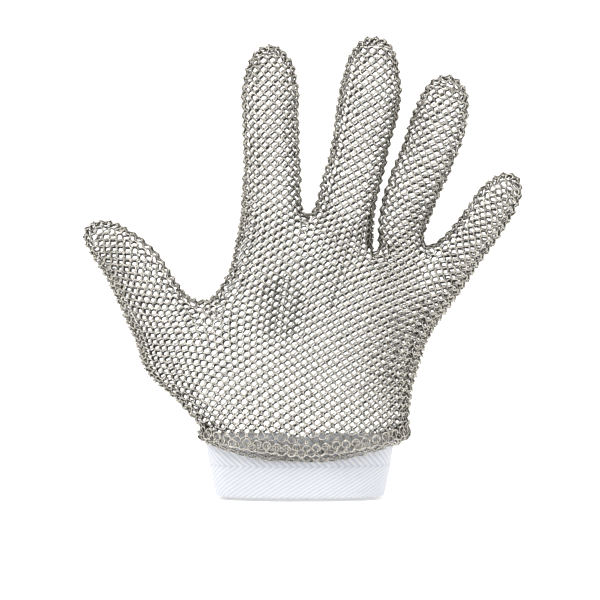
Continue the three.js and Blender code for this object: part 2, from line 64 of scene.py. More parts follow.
# outline of the glove seen from the back of the hand, from the wrist over the thumb and fingers
OUTLINE = [
    (-43.0, 7.3), (-42.6, 17.2), (-41.7, 27.1), (-46.4, 32.2), (-50.3, 36.5), (-54.2, 40.9),
    (-58.9, 45.1), (-64.1, 49.4), (-67.1, 53.8), (-69.2, 58.0), (-70.1, 62.4), (-71.4, 66.7),
    (-73.5, 71.0), (-75.7, 75.2), (-77.4, 79.5), (-79.5, 83.8), (-81.7, 88.2), (-83.4, 92.5),
    (-86.4, 96.8), (-89.4, 101.0), (-91.6, 105.3), (-93.7, 109.6), (-93.7, 113.5), (-92.0, 116.3),
    (-88.6, 118.2), (-84.3, 118.9), (-79.1, 118.0), (-71.4, 114.0), (-65.4, 109.6), (-61.1, 105.3),
    (-58.0, 101.0), (-55.3, 96.8), (-52.5, 92.5), (-49.9, 88.6), (-46.9, 85.6), (-43.0, 84.1),
    (-39.1, 85.1), (-36.1, 88.2), (-33.1, 92.9), (-31.0, 97.2), (-29.7, 101.9), (-28.8, 106.6),
    (-27.7, 111.4), (-26.9, 115.7), (-26.2, 120.8), (-25.8, 126.8), (-25.6, 131.2), (-25.4, 135.4),
    (-24.9, 139.8), (-24.9, 144.1), (-25.2, 148.3), (-25.2, 152.7), (-25.4, 156.9), (-25.4, 161.2),
    (-25.6, 165.6), (-26.0, 169.8), (-25.8, 174.2), (-24.9, 178.4), (-24.1, 182.8), (-22.6, 187.0),
    (-20.2, 190.9), (-16.8, 193.5), (-12.9, 194.4), (-9.0, 193.5), (-6.0, 191.1), (-3.2, 187.5),
    (-1.3, 183.2), (-0.4, 178.4), (0.4, 174.2), (0.4, 169.8), (0.0, 165.6), (0.0, 161.2),
    (0.4, 156.9), (0.4, 152.7), (0.4, 148.3), (0.9, 144.1), (1.1, 139.8), (1.3, 135.4),
    (1.3, 131.2), (1.3, 126.8), (1.7, 123.4), (3.2, 121.0), (5.2, 123.2), (6.5, 126.8),
    (7.7, 131.2), (8.6, 135.4), (9.7, 139.8), (11.2, 144.1), (12.3, 148.3), (13.1, 152.7),
    (13.8, 156.9), (14.2, 161.2), (14.8, 165.6), (15.5, 169.8), (16.1, 174.2), (17.0, 178.4),
    (18.3, 182.8), (19.6, 187.0), (21.5, 191.3), (24.5, 195.2), (28.4, 197.4), (32.2, 197.8),
    (36.1, 196.9), (39.3, 194.6), (41.5, 190.9), (42.8, 186.6), (43.4, 182.8), (44.1, 178.4),
    (44.3, 174.2), (44.1, 169.8), (43.4, 165.6), (42.5, 161.2), (41.3, 156.9), (40.0, 152.7),
    (38.9, 148.3), (38.1, 144.1), (37.1, 139.8), (36.0, 135.4), (34.9, 131.2), (33.9, 126.8),
    (33.0, 122.5), (32.5, 118.2), (32.1, 114.0), (31.9, 109.6), (32.0, 106.2), (32.5, 104.9),
    (33.0, 106.2), (32.9, 109.6), (32.9, 114.0), (33.0, 118.2), (33.5, 122.5), (34.4, 126.8),
    (35.7, 131.2), (37.1, 135.4), (38.7, 139.8), (40.5, 144.1), (42.4, 148.3), (43.9, 152.7),
    (45.2, 156.9), (46.7, 161.2), (48.3, 165.6), (50.1, 169.8), (52.2, 174.2), (55.0, 178.0),
    (58.9, 180.6), (63.2, 181.5), (67.1, 180.4), (70.3, 177.6), (72.5, 173.7), (73.3, 169.8),
    (73.1, 165.6), (72.8, 161.2), (72.2, 156.9), (71.2, 152.7), (69.4, 148.3), (67.5, 144.1),
    (65.8, 139.8), (64.0, 135.4), (61.9, 131.2), (60.0, 126.8), (58.3, 122.5), (56.5, 118.2),
    (54.8, 114.0), (54.0, 110.1), (55.3, 107.7), (57.6, 109.0), (60.4, 111.2), (63.6, 114.4),
    (67.1, 118.5), (70.1, 122.5), (72.9, 126.8), (75.9, 131.2), (80.0, 135.4), (84.3, 138.2),
    (88.6, 139.5), (92.5, 138.9), (95.0, 136.5), (96.1, 132.9), (95.9, 128.6), (94.4, 124.3),
    (92.0, 119.5), (89.2, 114.8), (86.0, 110.1), (82.6, 105.3), (79.1, 100.8), (75.9, 96.3),
    (73.1, 92.0), (70.3, 87.9), (67.1, 83.4), (64.1, 79.1), (61.1, 75.0), (58.0, 70.7),
    (55.5, 66.2), (53.8, 62.4), (52.5, 58.0), (51.4, 53.8), (49.9, 49.4), (48.8, 45.1),
    (48.4, 40.9), (47.9, 36.5), (47.3, 32.2), (46.4, 27.9), (44.7, 22.8), (43.9, 17.2),
    (43.4, 7.3),
]


# ------------------------------------------------------------------ small numeric helpers
def smooth_line(p, sigma, step):
    """p smoothed along itself, the ends held."""
    n = max(1, int(3 * sigma / step))
    k = np.exp(-0.5 * (np.arange(-n, n + 1) * step / sigma) ** 2)
    k /= k.sum()
    q = p.reshape(len(p), -1)
    pad = np.vstack([2 * q[0] - q[1 : n + 1][::-1], q, 2 * q[-1] - q[-n - 1 : -1][::-1]])
    out = np.column_stack([np.convolve(pad[:, j], k, "valid") for j in range(q.shape[1])])
    return out.reshape(p.shape)


def resample(p, step):
    d = np.r_[0, np.cumsum(np.linalg.norm(np.diff(p, axis=0), axis=1))]
    n = max(2, int(round(d[-1] / step)) + 1)
    t = np.linspace(0, d[-1], n)
    return np.column_stack([np.interp(t, d, p[:, 0]), np.interp(t, d, p[:, 1])])


def inward(p):
    """Unit vectors to the right of the way the line runs, into the glove."""
    d = np.gradient(p, axis=0)
    d /= np.linalg.norm(d, axis=1)[:, None] + 1e-12
    return np.column_stack([d[:, 1], -d[:, 0]])


def inside(poly, pts):
    """Which points lie inside the polygon."""
    x, y = pts[:, 0], pts[:, 1]
    res = np.zeros(len(pts), bool)
    a, b = poly, np.roll(poly, -1, axis=0)
    for (x0, y0), (x1, y1) in zip(a, b):
        if y0 == y1:
            continue
        hit = (y0 > y) != (y1 > y)
        res ^= hit & (x < (x1 - x0) * (y - y0) / (y1 - y0) + x0)
    return res


def nearest(pts, line, chunk=4000):
    """Distance of each point to the nearest sample of the line."""
    out = np.empty(len(pts))
    for i in range(0, len(pts), chunk):
        q = pts[i : i + chunk]
        out[i : i + chunk] = np.sqrt(
            ((q[:, None, :] - line[None]) ** 2).sum(-1).min(1)
        )
    return out


def fill(poly, step, margin):
    """Points on a triangular grid inside the polygon, clear of its edge."""
    lo, hi = poly.min(0), poly.max(0)
    rows = np.arange(lo[1], hi[1], step * 0.866)
    pts = np.vstack(
        [
            np.column_stack(
                [np.arange(lo[0] + (i % 2) * step / 2, hi[0], step), np.full(len(np.arange(lo[0] + (i % 2) * step / 2, hi[0], step)), z)]
            )
            for i, z in enumerate(rows)
        ]
    )
    pts = pts[inside(poly, pts)]
    return pts[nearest(pts, resample(np.vstack([poly, poly[:1]]), 0.5)) > margin]


def triangulate(poly, step, margin):
    """(points, triangles) of the polygon's inside. The polygon's own points come first."""
    pts = np.vstack([poly, fill(poly, step, margin)])
    n = len(poly)
    edges = [(i, (i + 1) % n) for i in range(n)]
    out = delaunay_2d_cdt([Vector(p) for p in pts], edges, [], 1, 1e-6, True)
    v = np.array([tuple(p) for p in out[0]])
    tris = []
    for f in out[2]:
        for k in range(1, len(f) - 1):
            tris.append((f[0], f[k], f[k + 1]))
    tris = np.array(tris)
    tris = tris[inside(poly, v[tris].mean(1))]
    # polygon points keep their order through the list of origins
    where = np.full(n, -1)
    for i, orig in enumerate(out[3]):
        for o in orig:
            if o < n:
                where[o] = i
    return v, tris, where


def frames(v, tris):
    """Area, unit normal and hat-function gradients of each triangle of a surface in space."""
    a, b, c = v[tris[:, 0]], v[tris[:, 1]], v[tris[:, 2]]
    nrm = np.cross(b - a, c - a)
    A2 = np.linalg.norm(nrm, axis=1) + 1e-12
    n = nrm / A2[:, None]
    g = np.stack(
        [np.cross(n, c - b), np.cross(n, a - c), np.cross(n, b - a)], axis=1
    ) / A2[:, None, None]
    return A2 / 2, n, g


def stiffness(tris, A, g):
    rows, cols, vals = [], [], []
    for i in range(3):
        for j in range(3):
            rows.append(tris[:, i])
            cols.append(tris[:, j])
            vals.append(A * (g[:, i] * g[:, j]).sum(1))
    return np.concatenate(rows), np.concatenate(cols), np.concatenate(vals)


def solve(n, K, rhs, fixed=None, values=None, x0=None, tol=1e-8, most=4000):
    """Conjugate gradients on K x = rhs with some values held."""
    r_, c_, v_ = K
    free = np.ones(n, bool)
    x = np.zeros(n) if x0 is None else x0.copy()
    if fixed is not None:
        free[fixed] = False
        x[fixed] = values
    diag = np.bincount(r_[r_ == c_], weights=v_[r_ == c_], minlength=n) + 1e-12
    mul = lambda y: np.bincount(r_, weights=v_ * y[c_], minlength=n)
    r = (rhs - mul(x)) * free
    z = r / diag
    p = z.copy()
    rz = r @ z
    r0 = math.sqrt(max(rz, 1e-30))
    for _ in range(most):
        Ap = mul(p) * free
        a = rz / (p @ Ap + 1e-30)
        x += a * p
        r -= a * Ap
        z = r / diag
        new = r @ z
        if math.sqrt(abs(new)) < tol * r0:
            break
        p = z + (new / rz) * p
        rz = new
    return x


# ------------------------------------------------------------------ the form: the outline, blown up to a hand's thickness
STEP = 0.5
outer = smooth_line(resample(np.array(OUTLINE, float), STEP), 0.9, STEP)
side = outer + inward(outer) * INSET
side = smooth_line(resample(side, STEP), 0.8, STEP)
side_n = smooth_line(inward(side), 0.8, STEP)
side_n /= np.linalg.norm(side_n, axis=1)[:, None]
side_l = np.r_[0, np.cumsum(np.linalg.norm(np.diff(side, axis=0), axis=1))]

form = resample(side, 1.4)
bottom = resample(np.array([form[-1], form[0]]), 2.0)[1:-1]
fv, ft, fw = triangulate(np.vstack([form, bottom]), 1.5, 0.9)
f3 = np.column_stack([fv[:, 0], np.zeros(len(fv)), fv[:, 1]])
fA, fn, fg = frames(f3, ft)
FLAT2, DECAY = 219.0, 0.01315
K = stiffness(ft, fA, fg)
mass = np.bincount(ft.ravel(), weights=np.repeat(fA / 3, 3), minlength=len(fv))
K = (
    np.r_[K[0], np.arange(len(fv))],
    np.r_[K[1], np.arange(len(fv))],
    np.r_[K[2], DECAY * mass],
)
edge_ids = fw[: len(form)]
fu = solve(len(fv), K, FLAT2 * DECAY * mass, edge_ids[edge_ids >= 0], 0.0)

# its square height on a fine grid, for looking up
GX0, GZ0, GS = -96.0, 4.0, 0.5
gnx, gnz = int(194 / GS), int(196 / GS)
grid = np.zeros((gnz, gnx))
for t in ft:
    p = fv[t]
    x0, z0 = (p.min(0) - (GX0, GZ0)) / GS
    x1, z1 = (p.max(0) - (GX0, GZ0)) / GS
    i = np.arange(max(0, math.ceil(x0)), min(gnx - 1, math.floor(x1)) + 1)
    j = np.arange(max(0, math.ceil(z0)), min(gnz - 1, math.floor(z1)) + 1)
    if not len(i) or not len(j):
        continue
    X, Z = np.meshgrid(GX0 + i * GS, GZ0 + j * GS)
    d = (p[1] - p[0])[0] * (p[2] - p[0])[1] - (p[2] - p[0])[0] * (p[1] - p[0])[1]
    l1 = ((X - p[0, 0]) * (p[2] - p[0])[1] - (p[2] - p[0])[0] * (Z - p[0, 1])) / d
    l2 = ((p[1] - p[0])[0] * (Z - p[0, 1]) - (X - p[0, 0]) * (p[1] - p[0])[1]) / d
    ok = (l1 > -1e-6) & (l2 > -1e-6) & (l1 + l2 < 1 + 1e-6)
    if ok.any():
        u = fu[t]
        val = u[0] + l1 * (u[1] - u[0]) + l2 * (u[2] - u[0])
        sub = grid[j[0] : j[-1] + 1, i[0] : i[-1] + 1]
        sub[ok] = val[ok]


def square_height(p):
    x = np.clip((p[:, 0] - GX0) / GS, 0, gnx - 2.001)
    z = np.clip((p[:, 1] - GZ0) / GS, 0, gnz - 2.001)
    i, j = x.astype(int), z.astype(int)
    a, b = x - i, z - j
    return (
        grid[j, i] * (1 - a) * (1 - b)
        + grid[j, i + 1] * a * (1 - b)
        + grid[j + 1, i] * (1 - a) * b
        + grid[j + 1, i + 1] * a * b
    )


def flare(z):
    """The mesh opens a little towards the hem, to go over the band."""
    t = np.clip((52.0 - z) / 28.0, 0, 1)
    return 1 + 0.30 * t * t * (3 - 2 * t)


# near the side line the section is c1 d + c2 d^2 = height^2, d inwards from the line
u3 = square_height(side + 3 * side_n)
u6 = square_height(side + 6 * side_n)
c2 = (u6 - 2 * u3) / 18
c1 = (u3 - 9 * c2) / 3
c1 = smooth_line(np.clip(c1, 3.0, 30.0), 2.5, STEP)
c2 = smooth_line(np.clip(c2, -2.0, 0.5), 2.5, STEP)
dd = np.linspace(0, 1, 160) ** 2 * 8.0
hh = np.sqrt(np.maximum(c1[:, None] * dd + c2[:, None] * dd**2, 0)) * flare(side[:, 1])[:, None]
arc = np.hstack(
    [np.zeros((len(side), 1)), np.cumsum(np.hypot(np.diff(dd)[None], np.diff(hh, axis=1)), axis=1)]
)


def at_arc(a):
    """How far inwards of the side line, and how high, the surface is at arc length a from it."""
    din = np.array([np.interp(a, arc[k], dd) for k in range(len(side))])
    h = np.array([np.interp(a, arc[k], hh[k]) for k in range(len(side))])
    return din, h


def hem_z(x):
    t = np.clip(np.abs(x - 1.0) / 44.0, 0, 1)
    return HEM_MID + (HEM_SIDE - HEM_MID) * t**2


# ------------------------------------------------------------------ tips and crotches along the side line
TIPS = [(-93.2, 117.6), (-13.0, 194.2), (32.0, 197.6), (63.6, 181.6), (93.2, 139.0)]
CROTCHES = [(-42.0, 84.3), (3.4, 120.6), (32.4, 105.2), (54.2, 108.3)]
tip_k = [int(np.argmin(((side - t) ** 2).sum(1))) for t in TIPS]
cro_k = [int(np.argmin(((side - t) ** 2).sum(1))) for t in CROTCHES]
start_k = int(np.argmax(side[:, 1] > hem_z(side[:, 0])))
end_k = len(side) - 1 - int(np.argmax((side[:, 1] > hem_z(side[:, 0]))[::-1]))
TIP_HALF = [16.0, 17.5, 18.0, 16.0, 13.5]  # length of side line on each side of a tip that is its round end
din_b, h_b = at_arc(EDGE)
inner = side + side_n * din_b[:, None]
inner = smooth_line(inner, 1.0, STEP)

gap_of = np.zeros(len(side), int)
for k in tip_k:
    gap_of[k:] += 1
way = np.ones(len(side))  # +1 where the line runs towards the tips, -1 where it runs down
turns = sorted([(k, -1) for k in tip_k] + [(k, 1) for k in cro_k])
for k, w in turns:
    way[k:] = w
soft_way = smooth_line(way, 3.0, STEP)
held = np.ones(len(side), bool)
for k, half in zip(tip_k, TIP_HALF):
    held &= np.abs(side_l - side_l[k]) > half
s_side = np.array([COLUMNS[g] for g in gap_of]) - soft_way * (3 - EDGE / DV)


def ease(t):
    t = np.clip(t, 0, 1)
    return t * t * (3 - 2 * t)


# over a fingertip the columns run straight on, and end one after another at the narrowing sides
TIP_AXIS = [(-0.78, 0.63), (-0.02, 1.0), (0.08, 0.997), (0.21, 0.978), (0.58, 0.815)]
TIP_RUN = [24.0, 25.0, 25.0, 23.0, 20.0]
for i, k in enumerate(tip_k):
    ax_ = np.array(TIP_AXIS[i]) / np.hypot(*TIP_AXIS[i])
    reg = np.where(np.abs(side_l - side_l[k]) <= TIP_RUN[i])[0]
    # the middle line is half way between the two sides at the start of the round end
    a_, b_ = inner[reg[0]], inner[reg[-1]]
    perp = np.array([ax_[1], -ax_[0]])
    cut = (inner[reg] - (a_ + b_) / 2) @ perp
    full = ((b_ - a_) @ perp) / 2
    s_mid_ = (COLUMNS[i] + COLUMNS[i + 1]) / 2
    s_full = (COLUMNS[i + 1] - COLUMNS[i]) / 2 + 3 - EDGE / DV
    s_side[reg] = s_mid_ + s_full * np.clip(cut / full, -1.06, 1.06)
s_side = smooth_line(s_side, 0.8, STEP)
held[:] = True


# towards the wrist the outermost columns run out at the sides
s_side = s_side + np.where(gap_of == 0, 4.0 * ease((62 - side[:, 1]) / 40), 0)
s_side = s_side - np.where(gap_of == 5, 4.0 * ease((76 - side[:, 1]) / 52), 0)

# ------------------------------------------------------------------ ring columns and rows over one face of the glove
use = np.arange(start_k, end_k + 1)
keep = [use[0]]
for k in use[1:]:
    if np.linalg.norm(inner[k] - inner[keep[-1]]) > 1.25:
        keep.append(k)
keep = np.array(keep)
rim = inner[keep]
hx = np.linspace(rim[-1][0], rim[0][0], int(abs(rim[-1][0] - rim[0][0]) / 1.4) + 1)[1:-1]
hem_pts = np.column_stack([hx, hem_z(hx)])
rv, rt, rw = triangulate(np.vstack([rim, hem_pts]), 1.45, 0.75)
height = np.sqrt(np.maximum(square_height(rv), 0.0)) * flare(rv[:, 1])
# on the rim itself the section gives the height
ok = rw[: len(rim)] >= 0
height[rw[: len(rim)][ok]] = h_b[keep][ok]
r3 = np.column_stack([rv[:, 0], -height, rv[:, 1]])
rA, rn, rg = frames(r3, rt)
K = stiffness(rt, rA, rg)
fix = ok & held[keep]
hem_w = rw[len(rim) :]
hem3 = np.vstack([r3[rw[:len(rim)][ok][-1]], r3[hem_w[hem_w >= 0]], r3[rw[:len(rim)][ok][0]]])
hem_d = np.r_[0, np.cumsum(np.linalg.norm(np.diff(hem3, axis=0), axis=1))]
s_last, s_first = s_side[keep][ok][-1], s_side[keep][ok][0]
s_hem = s_last + (s_first - s_last) * hem_d[1:-1] / hem_d[-1]
s_val = solve(
    len(rv), K, np.zeros(len(rv)),
    np.r_[rw[: len(rim)][fix], hem_w[hem_w >= 0]],
    np.r_[s_side[keep][fix], s_hem],
    x0=np.full(len(rv), 26.0),
)
gs = (rg * s_val[rt][:, :, None]).sum(1)
mag = np.linalg.norm(gs, axis=1) + 1e-9
dv_t = np.clip(1 / mag, 1.75, 2.9)
du_t = np.clip(3.8 - (dv_t - 2.2) * 2.4, 2.7, 4.0)
up = np.cross(rn, gs / mag[:, None])
if (up[:, 2] * rA).sum() < 0:
    up = -up
goal = up / du_t[:, None]
rhs = np.zeros(len(rv))
for i in range(3):
    rhs += np.bincount(rt[:, i], weights=rA * (rg[:, i] * goal).sum(1), minlength=len(rv))
low = int(np.argmin(rv[:, 1]))
t_val = solve(len(rv), K, rhs, np.array([low]), 0.0)


def to_points(per_tri):
    w = np.repeat(rA, 3)
    out = np.column_stack(
        [
            np.bincount(rt.ravel(), weights=w * np.repeat(per_tri[:, j], 3), minlength=len(rv))
            for j in range(per_tri.shape[1])
        ]
    )
    return out / np.bincount(rt.ravel(), weights=w, minlength=len(rv))[:, None]


gt = (rg * t_val[rt][:, :, None]).sum(1)
GS_, GT_ = to_points(gs), to_points(gt)
flip = np.sign((rn[:, 1] * rA).sum())
RN = to_points(rn * -flip)  # out of the back of the hand

# ring places: every whole column, rows shifted by half a row on odd columns
tri_s, tri_t = s_val[rt], t_val[rt]
found = {}
smin, smax = tri_s.min(1), tri_s.max(1)
for extra in (0, 1):
    col = np.ceil(smin) + extra
    m = np.where(col <= smax)[0]
    if not len(m):
        continue
    c = col[m]
    half = (c % 2) * 0.5
    r0 = np.ceil(tri_t[m].min(1) - half) + half
    for more in (0, 1):
        r = r0 + more
        mm = np.where(r <= tri_t[m].max(1))[0]
        S, T = tri_s[m[mm]], tri_t[m[mm]]
        det = (S[:, 1] - S[:, 0]) * (T[:, 2] - T[:, 0]) - (S[:, 2] - S[:, 0]) * (T[:, 1] - T[:, 0])
        ds, dt = c[mm] - S[:, 0], r[mm] - T[:, 0]
        l1 = (ds * (T[:, 2] - T[:, 0]) - (S[:, 2] - S[:, 0]) * dt) / det
        l2 = ((S[:, 1] - S[:, 0]) * dt - ds * (T[:, 1] - T[:, 0])) / det
        good = (l1 >= -1e-4) & (l2 >= -1e-4) & (l1 + l2 <= 1 + 1e-4)
        for k in np.where(good)[0]:
            key = (int(c[mm[k]]), float(r[mm[k]]))
            if key not in found:
                found[key] = (int(m[mm[k]]), 1 - l1[k] - l2[k], l1[k], l2[k])
keys = list(found)
tri = np.array([found[k][0] for k in keys])
bar = np.array([found[k][1:] for k in keys])
mix = lambda a: (a[rt[tri]] * bar[:, :, None]).sum(1)
face = dict(
    col=np.array([k[0] for k in keys]),
    row=np.array([k[1] for k in keys]),
    pos=mix(r3),
    n=mix(RN),
    gs=mix(GS_),
    gt=mix(GT_),
)
print("face rings", len(keys), "form", len(fv), "face mesh", len(rv), "s", s_val.min(), s_val.max(), "t", t_val.min(), t_val.max())


# ------------------------------------------------------------------ ring places on the side strip, over tips and round crotches
rim_id = rw[: len(rim)]
t_side = np.interp(side_l, side_l[keep][rim_id >= 0], t_val[rim_id[rim_id >= 0]])
t_side = smooth_line(t_side, 1.0, STEP)
CRO_HALF = [7.0, 5.0, 3.6, 4.4]
at = lambda l: int(np.clip(np.searchsorted(side_l, l), start_k, end_k))
turn_list = []
for i, k in enumerate(tip_k):
    turn_list.append((at(side_l[k] - TIP_HALF[i]), at(side_l[k] + TIP_HALF[i])))
    if i < 4:
        c = cro_k[i]
        turn_list.append((at(side_l[c] - CRO_HALF[i]), at(side_l[c] + CRO_HALF[i])))
tau = np.zeros(len(side))
here = start_k
going = 1
tau[here] = t_side[here] - ((COLUMNS[0] + 1) % 2) / 2
for a, b in turn_list + [(end_k, end_k)]:
    run = going * (t_side[here : a + 1] - t_side[here])
    tau[here : a + 1] = tau[here] + np.maximum.accumulate(run)
    if a == b:
        break
    length = side_l[b] - side_l[a]
    odd = (COLUMNS[gap_of[b]] + 1) % 2 / 2
    if going > 0:  # over a tip, then down
        phase = (-t_side[b] + odd) % 1
        pitch = 3.75
    else:
        phase = (t_side[b] - odd) % 1
        pitch = 3.5
    want = tau[a] + length / pitch
    tau[b] = phase + round(want - phase)
    if tau[b] <= tau[a] + 0.4:
        tau[b] += 1
    tau[a : b + 1] = tau[a] + (tau[b] - tau[a]) * (side_l[a : b + 1] - side_l[a]) / length
    here, going = b, -going
span = slice(start_k, end_k + 1)
tau_s = tau[span] + np.arange(end_k + 1 - start_k) * 1e-7
strip = {k: [] for k in ("col", "k", "idx", "pos", "n", "u", "dv", "du")}
for k in range(-2, 3):
    arc_a = abs(k) * DV
    d_a, h_a = at_arc(arc_a)
    d_b, h_b2 = at_arc(arc_a + 0.4)
    line = side + side_n * d_a[:, None]
    line3 = np.column_stack([line[:, 0], -h_a, line[:, 1]])
    line3[:, 1] *= -1 if k > 0 else 1
    tang = np.gradient(smooth_line(line3, 1.0, STEP), axis=0)
    tang /= np.linalg.norm(tang, axis=1)[:, None] + 1e-12
    dn, dh = (d_b - d_a), (h_b2 - h_a)
    if k == 0:
        dn = dn * 0
    m = np.hypot(dn, dh) + 1e-9
    dn, dh = dn / m, dh / m
    nor = np.column_stack([-dh * side_n[:, 0], -dn * (-1 if k > 0 else 1), -dh * side_n[:, 1]])
    nor -= tang * (nor * tang).sum(1)[:, None]
    nor /= np.linalg.norm(nor, axis=1)[:, None] + 1e-12
    off = (abs(k) % 2) / 2
    vals = np.arange(math.ceil(tau_s[0] - off), math.floor(tau_s[-1] - off) + 1) + off
    f = np.interp(vals, tau_s, np.arange(start_k, end_k + 1))
    i0 = np.clip(f.astype(int), start_k, end_k - 1)
    w = (f - i0)[:, None]
    pick = lambda arr: arr[i0] * (1 - w) + arr[i0 + 1] * w
    along = np.abs(np.gradient(f)) * STEP
    strip["pos"].append(pick(line3))
    strip["n"].append(pick(nor))
    strip["u"].append(pick(tang) * way[i0][:, None])
    strip["col"].append(np.array([COLUMNS[g] for g in gap_of[i0]]) + 3 - abs(k))
    strip["k"].append(np.full(len(f), k))
    strip["idx"].append(i0)
    strip["du"].append(along)
    strip["dv"].append(np.full(len(f), DV))
strip = {k: np.concatenate(v) for k, v in strip.items()}
# no two rings of the strip on top of each other in the narrow crotches
alive = np.ones(len(strip["k"]), bool)
order = np.argsort(np.abs(strip["k"]), kind="stable")
for i in order:
    if not alive[i]:
        continue
    d = np.linalg.norm(strip["pos"] - strip["pos"][i], axis=1)
    hit = (d < 1.75) & alive & (np.arange(len(d)) != i)
    hit &= np.abs(strip["k"]) >= abs(strip["k"][i])
    alive[hit] = False
strip = {k: v[alive] for k, v in strip.items()}

# ------------------------------------------------------------------ the face rings, eased apart where columns crowd together
P = face["pos"].copy()
N = face["n"] / np.linalg.norm(face["n"], axis=1)[:, None]
U = face["gt"] - N * (face["gt"] * N).sum(1)[:, None]
du = 1 / (np.linalg.norm(U, axis=1) + 1e-9)
U *= du[:, None]
dv = 1 / (np.linalg.norm(face["gs"], axis=1) + 1e-9)
col, row = face["col"].copy(), face["row"].copy()
fixed_pts = strip["pos"][strip["k"] <= 0]
LEAST = 2.35
gone = np.zeros(len(P), bool)
for step_no in range(24):
    act = np.where(~gone)[0]
    Q = P[act]
    everything = np.vstack([Q, fixed_pts])
    cell = {}
    keys_c = np.floor(everything / 3.0).astype(int)
    d2 = ((Q[:, None, :] - everything[None]) ** 2).sum(-1)
    d2[np.arange(len(Q)), np.arange(len(Q))] = 1e9
    if step_no in (8, 16, 23):
        lim = 1.75 if step_no < 23 else 1.95
        close = np.where(d2.min(1) < lim**2)[0]
        worst = close[np.argsort(d2.min(1)[close])]
        dropped = set()
        for i in worst:
            j = int(np.argmin(d2[i]))
            if j in dropped or i in dropped:
                continue
            dropped.add(int(i))
        gone[act[list(dropped)]] = True
        continue
    ii, jj = np.where(d2 < LEAST**2)
    diff = Q[ii] - everything[jj]
    dist = np.sqrt(d2[ii, jj])[:, None] + 1e-9
    push = diff / dist * (LEAST - dist) * np.where(jj < len(Q), 0.25, 0.45)[:, None]
    mv = np.zeros_like(Q)
    np.add.at(mv, ii, push)
    nn = N[act]
    mv -= nn * (mv * nn).sum(1)[:, None]
    ln = np.linalg.norm(mv, axis=1)[:, None] + 1e-9
    mv *= np.minimum(1, 0.5 / ln)
    P[act] = Q + mv
ok_f = ~gone
P, N, U, du, dv, col, row = P[ok_f], N[ok_f], U[ok_f], du[ok_f], dv[ok_f], col[ok_f], row[ok_f]
# and no bare places: a ring wherever the nearest one is too far
cand = r3[:, :]
c_n = RN / np.linalg.norm(RN, axis=1)[:, None]
c_u = GT_ - c_n * (GT_ * c_n).sum(1)[:, None]
c_du = 1 / (np.linalg.norm(c_u, axis=1) + 1e-9)
c_u = c_u * c_du[:, None]
c_dv = 1 / (np.linalg.norm(GS_, axis=1) + 1e-9)
here_ = np.vstack([P, fixed_pts])
far = np.sqrt(np.min(((cand[:, None, :] - here_[None]) ** 2).sum(-1), axis=1))
more_p = []
for i in np.argsort(-far):
    if far[i] < 2.28:
        break
    if more_p and np.min(np.linalg.norm(cand[more_p] - cand[i], axis=1)) < 2.5:
        continue
    more_p.append(i)
more_p = np.array(more_p, int)
print("bare places filled", len(more_p))
P = np.vstack([P, cand[more_p]])
N = np.vstack([N, c_n[more_p]])
U = np.vstack([U, c_u[more_p]])
du = np.r_[du, np.clip(c_du[more_p], 2.7, 4.2)]
dv = np.r_[dv, np.clip(c_dv[more_p], 1.7, 3.0)]
col = np.r_[col, np.round(s_val[more_p]).astype(int)]
print("face rings kept", len(P), "strip", len(strip["k"]))

# ------------------------------------------------------------------ curled rows along the hem
la = np.linspace(0, EDGE, 13)
def section(k_, arcs):
    d_ = np.interp(arcs, arc[k_], dd)
    h_ = np.interp(arcs, arc[k_], hh[k_])
    p_ = side[k_] + side_n[k_] * d_[:, None]
    return np.column_stack([p_[:, 0], -h_, p_[:, 1]])


left = section(start_k, la)
right = section(end_k, la)
mid3 = hem3[1:-1][::-1]
half_loop = np.vstack([left, mid3, right[::-1]])
if half_loop[0, 0] > half_loop[-1, 0]:
    half_loop = half_loop[::-1]
loop = np.vstack([half_loop, (half_loop * [1, -1, 1])[::-1][1:-1]])
closed = np.vstack([loop, loop[:1]])
ld = np.r_[0, np.cumsum(np.linalg.norm(np.diff(closed, axis=0), axis=1))]
HN = 2 * int(round(ld[-1] / 2.08 / 2))
hem_path = np.column_stack([np.interp(np.linspace(0, ld[-1], HN + 1)[:-1], ld, closed[:, j]) for j in range(3)])
for _ in range(2):
    hem_path = (np.roll(hem_path, 1, 0) + 2 * hem_path + np.roll(hem_path, -1, 0)) / 4
hem_t = np.roll(hem_path, -1, 0) - np.roll(hem_path, 1, 0)
hem_t /= np.linalg.norm(hem_t, axis=1)[:, None]
hem_o = np.cross(hem_t, [0, 0, 1.0])
hem_o /= np.linalg.norm(hem_o, axis=1)[:, None]
if (hem_o[:, :2] * (hem_path[:, :2] - [0, 0])).sum() < 0:
    hem_o = -hem_o
CURL = [(0.2, 1.3, 10), (0.9, 3.0, 40), (2.2, 3.7, 95), (3.3, 2.4, 150), (3.7, 0.5, 176), (3.6, -1.3, 186)]
hem_rings = []
for r, (out_, down, phi) in enumerate(CURL):
    ids = np.arange(r % 2, HN, 2)
    c_, s_ = math.cos(math.radians(phi)), math.sin(math.radians(phi))
    o = hem_o[ids]
    dn_ = np.tile([0, 0, -1.0], (len(ids), 1))
    wob = 0.25 * np.sin(ids * 0.37 + r) + rng.normal(0, 0.16, len(ids))
    flat = 1 - 0.62 * np.abs(o[:, 0]) ** 3
    pos_ = hem_path[ids] + o * ((out_ + wob * 0.6) * flat)[:, None] + dn_ * (down + wob)[:, None]
    u_ = -(dn_ * c_ + o * s_)
    n_ = o * c_ - dn_ * s_
    hem_rings.append((pos_, n_, u_, ids, -1.0 if phi > 80 else 1.0))

# ------------------------------------------------------------------ every ring: place, way out, way up its column, lean
def lean_angle(du_, dv_):
    return np.clip(26 - (du_ - 3.3) * 5 - (dv_ - 2.2) * 10, 16, 36)


